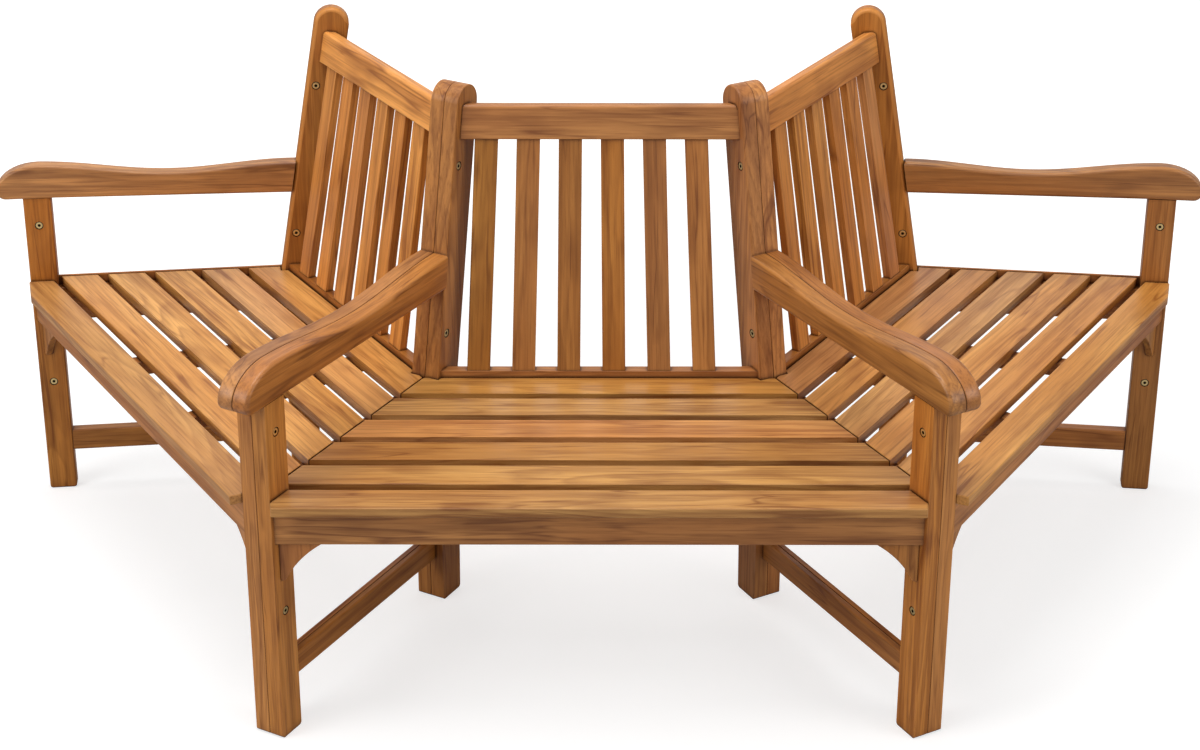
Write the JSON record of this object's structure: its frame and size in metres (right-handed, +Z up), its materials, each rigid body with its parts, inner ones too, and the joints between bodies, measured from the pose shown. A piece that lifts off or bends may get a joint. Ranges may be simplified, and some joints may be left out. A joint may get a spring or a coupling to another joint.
{
  "type": "tree bench",
  "caption": "Half tree bench in hardwood: three slatted benches with raked backs and scrolled arms, mitred together round the space for a trunk.",
  "frame": {"origin": "centre of the bounding box at ground level", "axes": "+X along the middle bench, to the right of someone facing it; +Y from the middle bench toward the tree behind it; +Z up"},
  "size_m": [2.0902, 0.9128, 0.897],
  "materials": {
    "frame_wood": "oiled",
    "arm_wood": "oiled",
    "seat_wood": "oiled",
    "back_wood": "oiled",
    "fixings": "satin",
    "screws": "satin"
  },
  "bodies": {
    "root": {"left_end_front_leg": "frame_wood", "left_end_back_post": "frame_wood", "left_end_arm": "arm_wood", "left_end_side_rail": "frame_wood", "left_end_stretcher": "frame_wood", "left_inner_front_leg": "frame_wood", "left_inner_back_post": "frame_wood", "left_inner_arm": "arm_wood", "left_inner_side_rail": "frame_wood", "left_inner_stretcher": "frame_wood", "centre_left_front_leg": "frame_wood", "centre_left_back_post": "frame_wood", "centre_left_arm": "arm_wood", "centre_left_side_rail": "frame_wood", "centre_left_stretcher": "frame_wood", "centre_right_front_leg": "frame_wood", "centre_right_back_post": "frame_wood", "centre_right_arm": "arm_wood", "centre_right_side_rail": "frame_wood", "centre_right_stretcher": "frame_wood", "right_inner_front_leg": "frame_wood", "right_inner_back_post": "frame_wood", "right_inner_arm": "arm_wood", "right_inner_side_rail": "frame_wood", "right_inner_stretcher": "frame_wood", "right_end_front_leg": "frame_wood", "right_end_back_post": "frame_wood", "right_end_arm": "arm_wood", "right_end_side_rail": "frame_wood", "right_end_stretcher": "frame_wood", "left_front_rail": "frame_wood", "left_rear_rail": "frame_wood", "left_top_rail": "back_wood", "left_front_slat": "seat_wood", "left_seat_slats": "seat_wood", "left_back_slats": "back_wood", "left_seat_bearers": "frame_wood", "left_corner_brackets": "frame_wood", "left_seat_screws": "screws", "centre_front_rail": "frame_wood", "centre_rear_rail": "frame_wood", "centre_top_rail": "back_wood", "centre_front_slat": "seat_wood", "centre_seat_slats": "seat_wood", "centre_back_slats": "back_wood", "centre_seat_bearers": "frame_wood", "centre_corner_brackets": "frame_wood", "centre_seat_screws": "screws", "right_front_rail": "frame_wood", "right_rear_rail": "frame_wood", "right_top_rail": "back_wood", "right_front_slat": "seat_wood", "right_seat_slats": "seat_wood", "right_back_slats": "back_wood", "right_seat_bearers": "frame_wood", "right_corner_brackets": "frame_wood", "right_seat_screws": "screws", "joint_bolts": "fixings", "joint_nuts": "fixings", "end_nuts": "fixings"}
  },
  "joints": []
}
